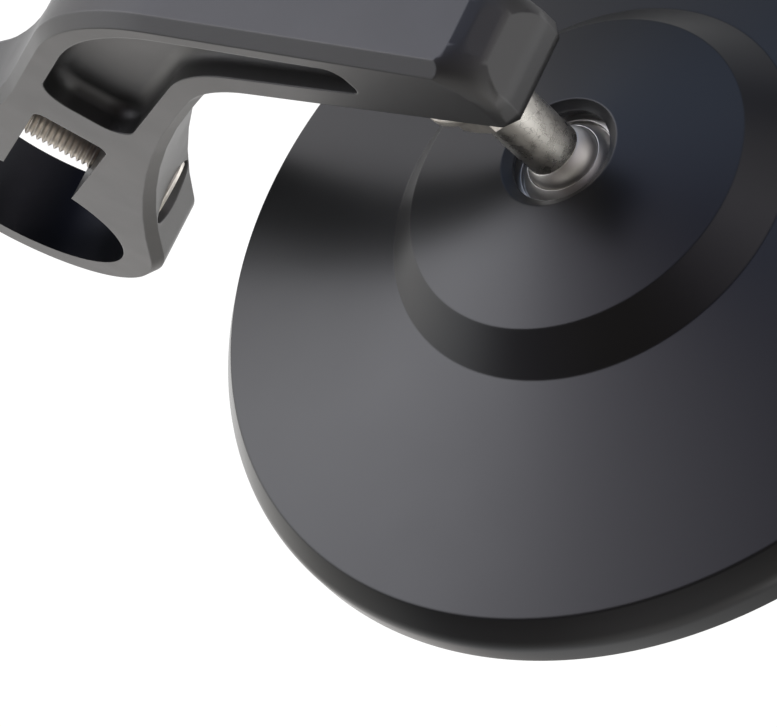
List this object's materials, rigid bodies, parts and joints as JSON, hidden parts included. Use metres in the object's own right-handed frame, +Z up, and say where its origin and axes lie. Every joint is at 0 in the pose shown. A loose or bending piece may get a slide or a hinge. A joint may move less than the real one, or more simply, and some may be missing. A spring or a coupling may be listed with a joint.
{
  "type": "motorcycle bar end mirror",
  "caption": "Round motorcycle bar end mirror: a slotted, machined clamp arm with lightening pockets carries a thin dished mirror housing on a lockable ball stud.",
  "frame": {"origin": "centre of the clamp bore, half way through the arm's thickness", "axes": "+Y along the handlebar through the clamp bore, +Z up, +X towards the side the glass faces"},
  "size_m": [0.0637, 0.0964, 0.1704],
  "materials": {
    "black_anodised": "bead-blasted, black anodised",
    "stainless_screw": "plain stainless",
    "stainless_washer": "plain stainless",
    "stainless_nut": "plain stainless",
    "ground_stainless": "ground neck, polished ball",
    "satin_anodised": "turned, satin black anodised",
    "spring_steel": "bright spring steel",
    "black_acetal": "matt",
    "filled_nylon": "matt",
    "plain_aluminium": "as turned",
    "black_foam": "closed-cell adhesive foam",
    "silvered_glass": "silvered, convex",
    "black_sealant": "soft black"
  },
  "bodies": {
    "arm_body": {"arm": "black_anodised", "clamp_screw": "stainless_screw"},
    "stud_body": {"ball_stud": "ground_stainless", "jam_nut": "stainless_nut", "stud_washer": "stainless_washer"},
    "socket_body": {"front_seat": "black_acetal", "rear_cup": "filled_nylon", "disc_springs": "spring_steel"},
    "mirror_body": {"mirror_housing": "satin_anodised", "retaining_ring": "spring_steel", "preload_plug": "plain_aluminium", "bond_pads": "black_foam", "mirror_glass": "silvered_glass", "glass_seal": "black_sealant"}
  },
  "joints": [
    {"name": "stud_turn", "type": "hinge", "parent": "arm_body", "child": "stud_body", "pos_m": [-0.01, 0, 0.1044], "axis": [1, 0, 0], "range_deg": [-90, 90]},
    {"name": "ball_tilt", "type": "hinge", "parent": "stud_body", "child": "socket_body", "pos_m": [-0.01, 0, 0.1044], "axis": [0, 0.9613, -0.2756], "range_deg": [-31, 13]},
    {"name": "mirror_spin", "type": "hinge", "parent": "socket_body", "child": "mirror_body", "pos_m": [-0.01, 0, 0.1044], "axis": [-0.9877, 0.0431, 0.1504], "continuous": true}
  ]
}
